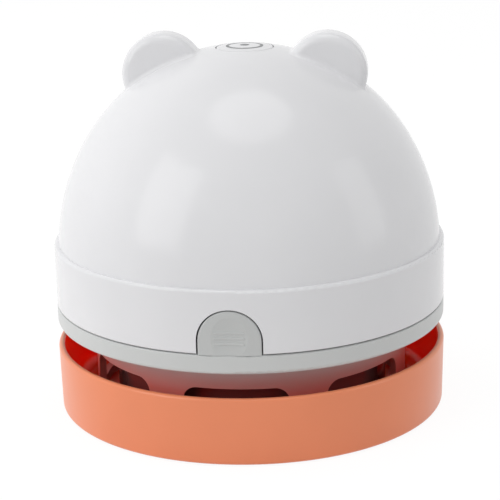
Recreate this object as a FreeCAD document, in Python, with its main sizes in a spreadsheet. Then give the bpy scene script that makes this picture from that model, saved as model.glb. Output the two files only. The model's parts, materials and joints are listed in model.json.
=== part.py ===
import FreeCAD, Part
import math
import os
import re
import Sketcher

# Desktop mini vacuum cleaner: a round dish stands on the desk and carries a dust cup and a slotted
# collar, and a domed motor unit with two round ears lifts off it when the tab in front is pressed.
# Millimetres. Z is up, Z = 0 is the desk, the tab faces -Y and the ears lie along X.

SIZES = {
    # band, which most other pieces take their places from, and the collar's ring under it
    "bandRadius": 49.0,
    "bandHeight": 15.35,
    "bandWall": 2.0,
    "bandRound": 0.7,
    "bandEdge": 0.35,
    "seatGap": 0.25,
    "ringTop": 27.3,
    "ringHeight": 4.6,
    "ringRound": 1.0,
    "ringEdge": 0.35,
    # dish
    "dishFlare": 0.15,
    "dishTaper": 1.15,
    "dishHeight": 16.8,
    "dishWall": 1.6,
    "dishFootRound": 1.0,
    "dishCornerRound": 3.0,
    "floorThickness": 1.8,
    "footHeight": 0.8,
    "footRadius": 3.2,
    "footInset": 7.5,
    "footCount": 4,
    "panRise": 3.2,
    "panGap": 0.3,
    "ribHeight": 1.2,
    "ribWidth": 1.0,
    # suction nozzle and brush
    "nozzleBore": 10.5,
    "nozzleWall": 1.4,
    "nozzleTop": 18.0,
    "mouthRound": 2.8,
    "flangeRadius": 24.0,
    "flangeThickness": 1.2,
    "fitGap": 0.15,
    "stripInner": 14.0,
    "stripOuter": 16.8,
    "stripThickness": 0.6,
    "tuftRadius": 0.8,
    "tuftEnd": 0.15,
    "tuftCount": 24,
    # dust cup and filter
    "cupMoat": 3.5,
    "cupWall": 1.6,
    "cupDrop": 3.3,
    "cupFloor": 1.2,
    "cupRound": 2.0,
    "bossRadius": 2.8,
    "bossHeight": 5.5,
    "baseScrewCircle": 19.0,
    "baseScrewCount": 3,
    "filterRim": 2.6,
    "filterDrop": 3.0,
    "filterWall": 2.0,
    "filterLedge": 1.4,
    "filterLedgeThickness": 1.0,
    "filterBar": 1.6,
    "filterBarCount": 4,
    "mediaHeight": 3.6,
    "mediaSheet": 0.5,
    "mediaPleats": 11,
    # slotted collar
    "skirtWall": 2.1,
    "plateThickness": 2.1,
    "neckInset": 9.4,
    "neckWall": 1.8,
    "neckBlend": 1.2,
    "spigotHeight": 3.6,
    "spigotWall": 1.8,
    "spigotGap": 0.3,
    "slotCount": 7,
    "slotAngle": 37.5,
    "slotTop": 15.75,
    "slotBottom": 5.0,
    "slotCorner": 3.5,
    # release tab
    "tabHalf": 7.4,
    "tabRise": 10.7,
    "tabGap": 0.35,
    "tabEdge": 0.35,
    "tabFootGap": 0.06,
    "tabLand": 1.1,
    "tabRelief": 0.45,
    "dimpleRadius": 5.2,
    "dimpleDepth": 0.55,
    "dimpleRise": 4.1,
    "hookHalf": 2.6,
    "hookRise": 1.9,
    "hookLength": 6.5,
    "hookThickness": 1.4,
    "hookGap": 0.3,
    # dome and ears
    "domeStep": 1.1,
    "domeWall": 2.2,
    "domeLeanAngle": 2.79,
    "domeBreakAngle": 32.4,
    "domeSideRadius": 53.8,
    "spigotDepth": 2.5,
    "slipGap": 0.1,
    "earOffset": 20.2,
    "earRise": 41.3,
    "earRadius": 10.0,
    "earFront": 4.8,
    "earBack": 5.2,
    "earFrontRound": 2.2,
    "earBackRound": 3.6,
    "earWall": 2.0,
    "earBlend": 1.2,
    "domeBossRadius": 3.0,
    "domeBossRise": 15.1,
    "coverScrewInset": 4.4,
    "coverScrewAngle": 30.0,
    # power button and switch
    "buttonRadius": 7.0,
    "buttonGap": 0.25,
    "buttonEdge": 0.4,
    "buttonTravel": 1.2,
    "buttonCap": 1.5,
    "buttonSkirt": 1.2,
    "skirtLength": 4.6,
    "stemRadius": 2.2,
    "sleeveWall": 1.6,
    "sleeveGap": 1.0,
    "carrierRise": 36.1,
    "carrierThickness": 1.6,
    "carrierRadius": 15.2,
    "carrierScrewOffset": 12.0,
    "switchWidth": 6.0,
    "switchHeight": 3.5,
    "plungerRadius": 1.6,
    "plungerGap": 0.1,
    "stopGap": 0.3,
    "buttonSpringRadius": 5.2,
    "buttonSpringWire": 0.5,
    "buttonSpringTurns": 5,
    # deck, motor and fan
    "deckGap": 0.3,
    "deckThickness": 1.8,
    "coverPlate": 1.5,
    "coverInset": 6.4,
    "coverWall": 1.6,
    "coverFlangeInset": 2.4,
    "coverFlangeThickness": 1.5,
    "inletRadius": 13.0,
    "inletLip": 1.5,
    "inletLipHeight": 1.1,
    "outletLap": 0.1,
    "outletEdge": 0.4,
    "outletAngle": 36.0,
    "outletCount": 8,
    "sealInset": 0.7,
    "sealWidth": 2.2,
    "sealThickness": 1.1,
    "sealGap": 0.3,
    "impellerGap": 6.4,
    "impellerPlate": 1.2,
    "impellerDrop": 2.0,
    "hubRadius": 4.2,
    "hubStep": 1.0,
    "bladeGap": 0.6,
    "bladeInner": 15.0,
    "bladeEdge": 0.6,
    "bladeSweepAngle": 38.0,
    "bladeArcRadius": 27.0,
    "bladeThickness": 1.3,
    "bladeCount": 12,
    "canRadius": 12.2,
    "canWall": 0.9,
    "canLength": 25.0,
    "canRound": 1.2,
    "canBossWall": 0.7,
    "canBossDrop": 1.3,
    "bearingRadius": 2.5,
    "bearingLength": 3.0,
    "shaftRadius": 1.0,
    "runningGap": 0.05,
    "endCapPlug": 2.0,
    "endCapRim": 1.0,
    "endCapBoss": 1.6,
    "magnetThickness": 1.7,
    "magnetAngle": 140.0,
    "magnetLift": 4.0,
    "magnetLength": 17.0,
    "magnetCount": 2,
    "airGap": 0.5,
    "poleWaist": 2.6,
    "poleShoe": 1.6,
    "poleAngle": 96.0,
    "poleCount": 3,
    "armatureCore": 3.6,
    "motorScrewCircle": 8.0,
    "terminalOffset": 6.5,
    "terminalWidth": 2.4,
    "terminalHeight": 4.2,
    "terminalThickness": 0.5,
    # battery
    "cellRadius": 7.1,
    "cellLength": 48.5,
    "cellNub": 1.0,
    "cellNubRadius": 2.8,
    "cradleGap": 1.75,
    "contactThickness": 0.4,
    "contactWidth": 9.0,
    "cradlePlate": 1.2,
    "cradleWall": 1.4,
    "cradleHeight": 10.5,
    "cradleRail": 2.6,
    # charging board and port
    "boardInset": 9.0,
    "boardThickness": 1.2,
    "boardWidth": 24.0,
    "boardDrop": 3.4,
    "boardHeight": 6.9,
    "railWidth": 2.0,
    "portRise": 7.6,
    "portWidth": 9.0,
    "portThick": 3.2,
    "portWall": 0.3,
    "portInset": 0.8,
    "portTongue": 0.7,
    "portTongueWidth": 6.2,
    "portHoleGap": 0.25,
    "chipGap": 1.5,
    "chipSmall": 3.0,
    "chipSmallHeight": 1.0,
    "chipLarge": 3.4,
    "chipLargeHeight": 1.6,
    # screws
    "screwRadius": 1.0,
    "screwGap": 0.05,
    "screwHole": 1.2,
    "headRadius": 1.9,
    "headHeight": 1.3,
    "socketRadius": 0.9,
    "socketDepth": 0.7,
}

# Sizes that follow from the driving ones; each may use those before it.
FOLLOWING = {
    "ringBottom": "(ringTop - ringHeight)",
    "seamHeight": "(ringTop + seatGap + bandHeight)",
    "dishRadius": "(bandRadius + dishFlare)",
    "dishFoot": "(dishRadius - dishTaper)",
    "footCircle": "(dishFoot - footInset)",
    "neckRadius": "(bandRadius - neckInset)",
    "cupRadius": "(neckRadius - neckWall - cupMoat)",
    "cupTop": "(ringTop - cupDrop)",
    "panRadius": "(cupRadius - cupWall - panGap)",
    "tabTop": "(ringTop + tabRise)",
    "dimpleHeight": "(ringTop + dimpleRise)",
    "hookTop": "(tabTop + hookRise)",
    "hookRoot": "(hookTop - hookLength)",
    "domeRadius": "(bandRadius - domeStep)",
    "earHeight": "(seamHeight + earRise)",
    "domeBossTop": "(seamHeight + domeBossRise)",
    "carrierTop": "(seamHeight + carrierRise)",
    "sleeveBottom": "(carrierTop + sleeveGap)",
    "plungerTop": "(carrierTop + switchHeight + buttonTravel + stopGap)",
    "deckRadius": "(domeRadius - domeWall - deckGap)",
    "coverScrewCircle": "(deckRadius - coverScrewInset)",
    "coverUnder": "(cupTop + filterRim + sealGap + sealThickness)",
    "coverOuter": "(deckRadius - coverInset)",
    "coverFlange": "(deckRadius - coverFlangeInset)",
    "outletInner": "(cupRadius - outletLap)",
    "outletOuter": "(coverOuter - coverWall - outletEdge)",
    "sealOuter": "(cupRadius - sealInset)",
    "sealInner": "(sealOuter - sealWidth)",
    "impellerRadius": "(coverOuter - coverWall - impellerGap)",
    "impellerTop": "(seamHeight - spigotDepth - impellerDrop)",
    "bladeBottom": "(coverUnder + coverPlate + inletLipHeight + bladeGap)",
    "bladeOuter": "(impellerRadius - bladeEdge)",
    "hubBottom": "(bladeBottom + hubStep)",
    "cellOffset": "(canRadius + cradleGap + cradleWall + fitGap + cellRadius)",
    "boardFront": "(bandRadius - boardInset)",
    "portMouth": "(bandRadius - portInset)",
    "portHeight": "(ringTop + portRise)",
    "boardBottom": "(portHeight - boardDrop)",
}

# Places worked out from the sizes, as texts that the features' expressions use.
BAND_INNER = "(bandRadius - bandWall)"
BAND_BOTTOM = "(ringTop + seatGap)"
FLOOR_TOP = "(footHeight + floorThickness)"
PAN_UNDER = "(footHeight + panRise)"
PAN_TOP = "(footHeight + panRise + floorThickness)"
CUP_FLOOR_TOP = "(footHeight + panRise + floorThickness + cupFloor)"
CUP_INNER = "(cupRadius - cupWall)"
NOZZLE_OUTER = "(nozzleBore + nozzleWall)"
FLANGE_UNDER = "(footHeight + panRise - flangeThickness)"
STRIP_UNDER = "(footHeight + panRise - flangeThickness - stripThickness)"
NECK_INNER = "(neckRadius - neckWall)"
PLATE_UNDER = "(ringTop - plateThickness)"
SPIGOT_OUTER = "(bandRadius - bandWall - spigotGap)"
SPIGOT_TOP = "(ringTop + spigotHeight)"
FILTER_RIM_TOP = "(cupTop + filterRim)"
DECK_UNDER = "(seamHeight - spigotDepth)"
DECK_TOP = "(seamHeight - spigotDepth + deckThickness)"
COVER_TOP = "(coverUnder + coverPlate)"
COVER_INNER = "(coverOuter - coverWall)"
CAN_TOP = "(seamHeight - spigotDepth + deckThickness + canLength)"
CARRIER_UNDER = "(carrierTop - carrierThickness)"
SIDE_CENTRE_X = "(domeRadius - domeSideRadius * cos(domeLeanAngle))"
SIDE_CENTRE_Z = "(seamHeight - domeSideRadius * sin(domeLeanAngle))"
CROWN_ARC = f"(({SIDE_CENTRE_X} + domeSideRadius * cos(domeBreakAngle)) / cos(domeBreakAngle))"
CROWN_CENTRE = f"({SIDE_CENTRE_Z} + (domeSideRadius - {CROWN_ARC}) * sin(domeBreakAngle))"
CROWN_TOP = f"({CROWN_CENTRE} + {CROWN_ARC})"
CELL_HEIGHT = f"({DECK_TOP} + cradlePlate + cellRadius)"

# Distance under which a point counts as lying on a surface.
NEAR = 0.001

doc = FreeCAD.newDocument("desk_vacuum")
sheet = doc.addObject("Spreadsheet::Sheet", "Sizes")
for row, (alias, amount) in enumerate(SIZES.items(), start=1):
    sheet.set(f"A{row}", alias)
    sheet.set(f"B{row}", str(amount))
    sheet.setAlias(f"B{row}", alias)
doc.recompute()

sub_parts = []
cuts = []


def linked(text):
    """Write following sizes out in full and point every size name at its cell."""
    full = str(text)
    for name, formula in reversed(FOLLOWING.items()):
        full = re.sub(rf"\b{name}\b", formula, full)
    return re.sub(r"\b[a-z]+[A-Z]\w*", r"Sizes.\g<0>", full)


def measure(text):
    """Value of an expression as a plain number."""
    result = sheet.evalExpression(linked(text))
    return float(getattr(result, "Value", result))


def bind(item, **texts):
    """Tie properties to expressions; two underscores in a name stand for a dot."""
    for name, text in texts.items():
        item.setExpression(name.replace("__", "."), linked(text))


def place(item, x="0", y="0", z="0"):
    bind(item, Placement__Base__x=x, Placement__Base__y=y, Placement__Base__z=z)


def turn(item, axis, degrees):
    item.Placement = FreeCAD.Placement(FreeCAD.Vector(), FreeCAD.Rotation(axis, degrees))


def keep(item, label):
    """List an object as a finished sub-part under its name."""
    item.Label = label
    sub_parts.append(item)
    return item


def new_body(label, several=False):
    body = doc.addObject("PartDesign::Body", label)
    body.AllowCompound = several
    return body


def origin_part(body, role):
    return next(part for part in body.Origin.OriginFeatures if part.Role == role)


def new_sketch(body, name, plane, lift=None):
    sketch = body.newObject("Sketcher::SketchObject", name)
    sketch.AttachmentSupport = (origin_part(body, plane), [""])
    sketch.MapMode = "FlatFace"
    if lift:
        bind(sketch, AttachmentOffset__Base__z=lift)
    return sketch


def pin_point(sketch, geometry, end, x_text, y_text):
    """Tie one point of a sketch to its two coordinates."""
    name = f"g{geometry}e{end}"
    for letter, text, axis_line in (("X", x_text, -2), ("Y", y_text, -1)):
        if text == "0":
            sketch.addConstraint(Sketcher.Constraint("PointOnObject", geometry, end, axis_line))
            continue
        rule = Sketcher.Constraint(f"Distance{letter}", -1, 1, geometry, end, measure(text))
        number = sketch.addConstraint(rule)
        sketch.renameConstraint(number, name + letter.lower())
        sketch.setExpression(f"Constraints.{name}{letter.lower()}", linked(text))


def arc_between(start, end, radius, left):
    """Arc under a half circle from start to end; left is True where it turns left."""
    chord = end - start
    height = math.sqrt(max(radius ** 2 - (chord.Length / 2) ** 2, 0))
    side = FreeCAD.Vector(-chord.y, chord.x, 0).normalize()
    centre = (start + end) * 0.5 + side * (height if left else -height)
    angles = [math.atan2(p.y - centre.y, p.x - centre.x) for p in (start, end)]
    if not left:
        angles.reverse()
    circle = Part.Circle(centre, FreeCAD.Vector(0, 0, 1), radius)
    return Part.ArcOfCircle(circle, angles[0], angles[1])


def draw(sketch, corners):
    """Closed outline through corners (x, y) or (x, y, radius, turn): the arc runs to the next corner."""
    points = [FreeCAD.Vector(measure(c[0]), measure(c[1]), 0) for c in corners]
    first = sketch.GeometryCount
    ends = []
    for number, corner in enumerate(corners):
        start, end = points[number], points[(number + 1) % len(points)]
        if len(corner) == 2:
            sketch.addGeometry(Part.LineSegment(start, end), False)
            ends.append((1, 2))
        else:
            left = corner[3] == "left"
            sketch.addGeometry(arc_between(start, end, measure(corner[2]), left), False)
            ends.append((1, 2) if left else (2, 1))
    for number, corner in enumerate(corners):
        geometry = first + number
        following = (number + 1) % len(corners)
        join = (geometry, ends[number][1], first + following, ends[following][0])
        sketch.addConstraint(Sketcher.Constraint("Coincident", *join))
        pin_point(sketch, geometry, ends[number][0], corner[0], corner[1])
        if len(corner) == 4:
            rule = sketch.addConstraint(Sketcher.Constraint("Radius", geometry, measure(corner[2])))
            sketch.renameConstraint(rule, f"g{geometry}radius")
            sketch.setExpression(f"Constraints.g{geometry}radius", linked(corner[2]))


def draw_circle(sketch, x_text, y_text, radius_text):
    centre = FreeCAD.Vector(measure(x_text), measure(y_text), 0)
    circle = Part.Circle(centre, FreeCAD.Vector(0, 0, 1), measure(radius_text))
    geometry = sketch.addGeometry(circle, False)
    pin_point(sketch, geometry, 3, x_text, y_text)
    rule = sketch.addConstraint(Sketcher.Constraint("Radius", geometry, measure(radius_text)))
    sketch.renameConstraint(rule, f"g{geometry}radius")
    sketch.setExpression(f"Constraints.g{geometry}radius", linked(radius_text))


def draw_axis(sketch, start, end):
    """Construction line that a feature turns about."""
    points = [FreeCAD.Vector(measure(x), measure(y), 0) for x, y in (start, end)]
    geometry = sketch.addGeometry(Part.LineSegment(*points), True)
    pin_point(sketch, geometry, 1, *start)
    pin_point(sketch, geometry, 2, *end)


def box_outline(left, right, low, high):
    return [(left, low), (right, low), (right, high), (left, high)]


def revolve(body, name, corners, plane="XZ_Plane", axis=None, lift=None):
    sketch = new_sketch(body, name + "_profile", plane, lift)
    draw(sketch, corners)
    if axis:
        draw_axis(sketch, *axis)
    feature = body.newObject("PartDesign::Revolution", name)
    feature.Profile = sketch
    feature.ReferenceAxis = (sketch, ["Axis0" if axis else "V_Axis"])
    feature.Angle = 360
    return feature


def pad(body, name, sketch, length, back=False):
    feature = body.newObject("PartDesign::Pad", name)
    feature.Profile = sketch
    feature.Reversed = back
    bind(feature, Length=length)
    return feature


def pocket(body, name, sketch, length, forward=False):
    """Cut against the sketch's normal, or along it where forward is True."""
    feature = body.newObject("PartDesign::Pocket", name)
    feature.Profile = sketch
    feature.Reversed = forward
    bind(feature, Length=length)
    cuts.append(feature)
    return feature


def ring_of(body, name, count, *features):
    """Repeat features evenly about the Z axis."""
    pattern = body.newObject("PartDesign::PolarPattern", name)
    pattern.Originals = list(features)
    pattern.Axis = (origin_part(body, "Z_Axis"), [""])
    pattern.Angle = 360
    bind(pattern, Occurrences=count)
    body.Tip = pattern
    return pattern


def mirror_x(body, name, feature):
    mirrored = body.newObject("PartDesign::Mirrored", name)
    mirrored.Originals = [feature]
    mirrored.MirrorPlane = (origin_part(body, "YZ_Plane"), [""])
    body.Tip = mirrored
    return mirrored


def round_edges(body, name, base, radius, wanted):
    """Fillet the edges of base whose middle point passes the test wanted."""
    doc.recompute()
    names = []
    for number, edge in enumerate(base.Shape.Edges, start=1):
        middle = edge.valueAt((edge.FirstParameter + edge.LastParameter) / 2)
        if wanted(edge, middle):
            names.append(f"Edge{number}")
    feature = body.newObject("PartDesign::Fillet", name)
    feature.Base = (base, names)
    bind(feature, Radius=radius)
    return feature


def cylinder(name, radius, height, x="0", y="0", z="0"):
    item = doc.addObject("Part::Cylinder", name)
    bind(item, Radius=radius, Height=height)
    place(item, x, y, z)
    return item


def box(name, length, width, height, x="0", y="0", z="0"):
    item = doc.addObject("Part::Box", name)
    bind(item, Length=length, Width=width, Height=height)
    place(item, x, y, z)
    return item


def cut(name, base, tool):
    item = doc.addObject("Part::Cut", name)
    item.Base = base
    item.Tool = tool
    return item


def fuse(name, items):
    item = doc.addObject("Part::MultiFuse", name)
    item.Shapes = items
    return item


def group(name, items):
    """Identical pieces kept as separate solids of one node."""
    item = doc.addObject("Part::Compound", name)
    item.Links = items
    return item


def tube(label, outer, inner, bottom, top):
    """Plain ring about the Z axis."""
    body = new_body(label)
    corners = box_outline(inner, outer, bottom, top)
    revolve(body, label + "_ring", corners)
    return keep(body, label)


# dish and its feet
def make_base_dish():
    body = new_body("base_dish")
    inner_foot = "(dishFoot - dishWall)"
    groove_outer = "(neckRadius + fitGap)"
    corners = [
        (f"{NOZZLE_OUTER} + fitGap", PAN_UNDER),
        ("panRadius - floorThickness", PAN_UNDER),
        ("panRadius - floorThickness", "footHeight"),
        ("dishFoot - dishFootRound", "footHeight", "dishFootRound", "left"),
        ("dishFoot", "footHeight + dishFootRound"),
        ("dishRadius", "dishHeight - dishWall / 2", "dishWall / 2", "left"),
        ("dishRadius - dishWall / 2", "dishHeight", "dishWall / 2", "left"),
        ("dishRadius - dishWall", "dishHeight - dishWall / 2"),
        (inner_foot, f"{FLOOR_TOP} + dishCornerRound", "dishCornerRound", "right"),
        (f"{inner_foot} - dishCornerRound", FLOOR_TOP),
        (f"{groove_outer} + ribWidth", FLOOR_TOP),
        (f"{groove_outer} + ribWidth", f"{FLOOR_TOP} + ribHeight"),
        (groove_outer, f"{FLOOR_TOP} + ribHeight"),
        (groove_outer, FLOOR_TOP),
        ("panRadius", FLOOR_TOP),
        ("panRadius", PAN_TOP),
        (f"{NOZZLE_OUTER} + fitGap", PAN_TOP),
    ]
    revolve(body, "dish_bowl", corners)
    holes = new_sketch(body, "dish_screw_hole", "XY_Plane", PAN_TOP)
    draw_circle(holes, "baseScrewCircle", "0", "screwHole")
    hole = pocket(body, "dish_hole", holes, "floorThickness")
    ring_of(body, "dish_holes", "baseScrewCount", hole)
    keep(body, "base_dish")


def make_foot_pads():
    pads = []
    for number in range(int(SIZES["footCount"])):
        angle = f"(45 + {number} * 360 / footCount)"
        x_text = f"footCircle * cos({angle})"
        y_text = f"footCircle * sin({angle})"
        pads.append(cylinder(f"foot_pad_{number}", "footRadius", "footHeight", x_text, y_text))
    keep(group("foot_pad_set", pads), "foot_pads")


# suction nozzle with its brush
def make_suction_nozzle():
    body = new_body("suction_nozzle")
    corners = [
        ("nozzleBore + mouthRound", FLANGE_UNDER),
        ("flangeRadius", FLANGE_UNDER),
        ("flangeRadius", PAN_UNDER),
        (NOZZLE_OUTER, PAN_UNDER),
        (NOZZLE_OUTER, "nozzleTop - nozzleWall / 2", "nozzleWall / 2", "left"),
        (f"{NOZZLE_OUTER} - nozzleWall / 2", "nozzleTop", "nozzleWall / 2", "left"),
        ("nozzleBore", "nozzleTop - nozzleWall / 2"),
        ("nozzleBore", f"{FLANGE_UNDER} + mouthRound", "mouthRound", "left"),
    ]
    revolve(body, "nozzle_tube", corners)
    holes = new_sketch(body, "nozzle_screw_hole", "XY_Plane", PAN_UNDER)
    draw_circle(holes, "baseScrewCircle", "0", "screwHole")
    hole = pocket(body, "nozzle_hole", holes, "flangeThickness")
    ring_of(body, "nozzle_holes", "baseScrewCount", hole)
    keep(body, "suction_nozzle")


def make_brush():
    tube("brush_strip", "stripOuter", "stripInner", STRIP_UNDER, FLANGE_UNDER)
    tufts = []
    middle = "(stripInner + stripOuter) / 2"
    for number in range(int(SIZES["tuftCount"])):
        angle = f"({number} * 360 / tuftCount)"
        place_x = f"{middle} * cos({angle})"
        place_y = f"{middle} * sin({angle})"
        length = f"{STRIP_UNDER} - tuftEnd"
        tufts.append(cylinder(f"tuft_{number}", "tuftRadius", length, place_x, place_y, "tuftEnd"))
    keep(group("tuft_set", tufts), "brush_tufts")


# dust cup with three screw bosses on its floor
def make_dust_cup():
    body = new_body("dust_cup")
    corners = [
        (f"{NOZZLE_OUTER} + fitGap", PAN_TOP),
        (CUP_INNER, PAN_TOP),
        (CUP_INNER, FLOOR_TOP),
        ("cupRadius", FLOOR_TOP),
        ("cupRadius", "cupTop"),
        (CUP_INNER, "cupTop"),
        (CUP_INNER, f"{CUP_FLOOR_TOP} + cupRound", "cupRound", "right"),
        (f"{CUP_INNER} - cupRound", CUP_FLOOR_TOP),
        (f"{NOZZLE_OUTER} + fitGap", CUP_FLOOR_TOP),
    ]
    revolve(body, "cup_wall", corners)
    boss_outline = new_sketch(body, "cup_boss_outline", "XY_Plane", CUP_FLOOR_TOP)
    draw_circle(boss_outline, "baseScrewCircle", "0", "bossRadius")
    boss = pad(body, "cup_boss", boss_outline, "bossHeight")
    ring_of(body, "cup_bosses", "baseScrewCount", boss)
    pilot_outline = new_sketch(body, "cup_pilot_outline", "XY_Plane", PAN_TOP)
    draw_circle(pilot_outline, "baseScrewCircle", "0", "screwRadius")
    pilot = pocket(body, "cup_pilot", pilot_outline, "cupFloor + bossHeight - screwRadius / 2", forward=True)
    ring_of(body, "cup_pilots", "baseScrewCount", pilot)
    keep(body, "dust_cup")


def make_base_screws():
    """Screws pointing up through flange, pan and cup floor."""
    body = new_body("base_screws", several=True)
    low = f"({FLANGE_UNDER} - headHeight)"
    tip = f"({CUP_FLOOR_TOP} + bossHeight / 2)"
    shank = "(screwRadius - screwGap)"
    corners = [
        ("baseScrewCircle", f"{low} + socketDepth"),
        ("baseScrewCircle + socketRadius", f"{low} + socketDepth"),
        ("baseScrewCircle + socketRadius", low),
        ("baseScrewCircle + headRadius - ringEdge", low, "ringEdge", "left"),
        ("baseScrewCircle + headRadius", f"{low} + ringEdge"),
        ("baseScrewCircle + headRadius", FLANGE_UNDER),
        (f"baseScrewCircle + {shank}", FLANGE_UNDER),
        (f"baseScrewCircle + {shank}", f"{tip} - {shank}"),
        ("baseScrewCircle", tip),
    ]
    centre_line = (("baseScrewCircle", low), ("baseScrewCircle", tip))
    first = revolve(body, "base_screw", corners, axis=centre_line)
    ring_of(body, "base_screw_ring", "baseScrewCount", first)
    keep(body, "base_screws")


# filter: a frame with a cross of bars, and the pleated sheet that lies on it
def make_filter_frame():
    body = new_body("filter_frame")
    outer = f"({CUP_INNER} - fitGap)"
    inner = f"({CUP_INNER} - fitGap - filterWall)"
    bottom = "(cupTop - filterDrop)"
    corners = [
        (f"{inner} - filterLedge", bottom),
        (outer, bottom),
        (outer, "cupTop"),
        ("cupRadius", "cupTop"),
        ("cupRadius", f"{FILTER_RIM_TOP} - ringEdge", "ringEdge", "left"),
        ("cupRadius - ringEdge", FILTER_RIM_TOP),
        (inner, FILTER_RIM_TOP),
        (inner, f"{bottom} + filterLedgeThickness"),
        (f"{inner} - filterLedge", f"{bottom} + filterLedgeThickness"),
    ]
    revolve(body, "filter_rim", corners)
    bar_outline = new_sketch(body, "filter_bar_outline", "XY_Plane", bottom)
    draw(bar_outline, box_outline("0", inner, "-filterBar / 2", "filterBar / 2"))
    bar = pad(body, "filter_bar", bar_outline, "filterLedgeThickness")
    ring_of(body, "filter_bars", "filterBarCount", bar)
    keep(body, "filter_frame")


def make_filter_media():
    radius = f"({CUP_INNER} - 2 * fitGap - filterWall)"
    bottom = "(cupTop - filterDrop + filterLedgeThickness)"
    pitch = f"(2 * {radius} / mediaPleats)"
    lower, upper = [], []
    for number in range(2 * int(SIZES["mediaPleats"]) + 1):
        across = f"(-{radius} + {number} * {pitch} / 2)"
        rise = "(mediaHeight - mediaSheet)" if number % 2 else "0"
        lower.append((across, f"{bottom} + {rise}"))
        upper.append((across, f"{bottom} + {rise} + mediaSheet"))
    body = new_body("media_sheet")
    outline = new_sketch(body, "media_outline", "XZ_Plane", f"-{radius}")
    draw(outline, lower + upper[::-1])
    pad(body, "media_pad", outline, f"2 * {radius}")
    disc = cylinder("media_disc", radius, "2 * mediaHeight", z="cupTop - filterDrop")
    media = doc.addObject("Part::Common", "media_common")
    media.Base = body
    media.Tool = disc
    keep(media, "filter_media")


# collar: grey ring, slotted neck and the spigot that the band slips over
def make_vent_collar():
    body = new_body("vent_collar")
    corners = [
        (NECK_INNER, FLOOR_TOP),
        ("neckRadius", FLOOR_TOP),
        ("neckRadius", f"{PLATE_UNDER} - neckBlend", "neckBlend", "right"),
        ("neckRadius + neckBlend", PLATE_UNDER),
        ("bandRadius - skirtWall", PLATE_UNDER),
        ("bandRadius - skirtWall", "ringBottom"),
        ("bandRadius - ringRound", "ringBottom", "ringRound", "left"),
        ("bandRadius", "ringBottom + ringRound"),
        ("bandRadius", "ringTop - ringEdge", "ringEdge", "left"),
        ("bandRadius - ringEdge", "ringTop"),
        (SPIGOT_OUTER, "ringTop"),
        (SPIGOT_OUTER, f"{SPIGOT_TOP} - ringEdge"),
        (f"{SPIGOT_OUTER} - ringEdge", SPIGOT_TOP),
        (f"{SPIGOT_OUTER} - spigotWall", SPIGOT_TOP),
        (f"{SPIGOT_OUTER} - spigotWall", "ringTop"),
        (NECK_INNER, "ringTop"),
    ]
    revolve(body, "collar_ring", corners)
    half = "(neckRadius * sin(slotAngle / 2))"
    wall_near = f"({NECK_INNER} * cos(slotAngle / 2) - neckWall)"
    slot_outline = new_sketch(body, "slot_outline", "XZ_Plane", wall_near)
    draw(slot_outline, [
        (f"-({half} - slotCorner)", "slotBottom"),
        (f"{half} - slotCorner", "slotBottom", "slotCorner", "left"),
        (half, "slotBottom + slotCorner"),
        (half, "slotTop - slotCorner", "slotCorner", "left"),
        (f"{half} - slotCorner", "slotTop"),
        (f"-({half} - slotCorner)", "slotTop", "slotCorner", "left"),
        (f"-{half}", "slotTop - slotCorner"),
        (f"-{half}", "slotBottom + slotCorner", "slotCorner", "left"),
    ])
    slot = pocket(body, "slot_cut", slot_outline, f"neckRadius + neckWall - {wall_near}", forward=True)
    ring_of(body, "slots", "slotCount", slot)
    gap_outline = new_sketch(body, "swing_outline", "XZ_Plane", f"{SPIGOT_OUTER} - 3 * spigotWall")
    reach = "(tabHalf + 2 * tabGap + ringEdge)"
    draw(gap_outline, box_outline(f"-{reach}", reach, "ringTop", f"{SPIGOT_TOP} + spigotWall"))
    pocket(body, "swing_notch", gap_outline, "4 * spigotWall", forward=True)
    keep(body, "vent_collar")


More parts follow.
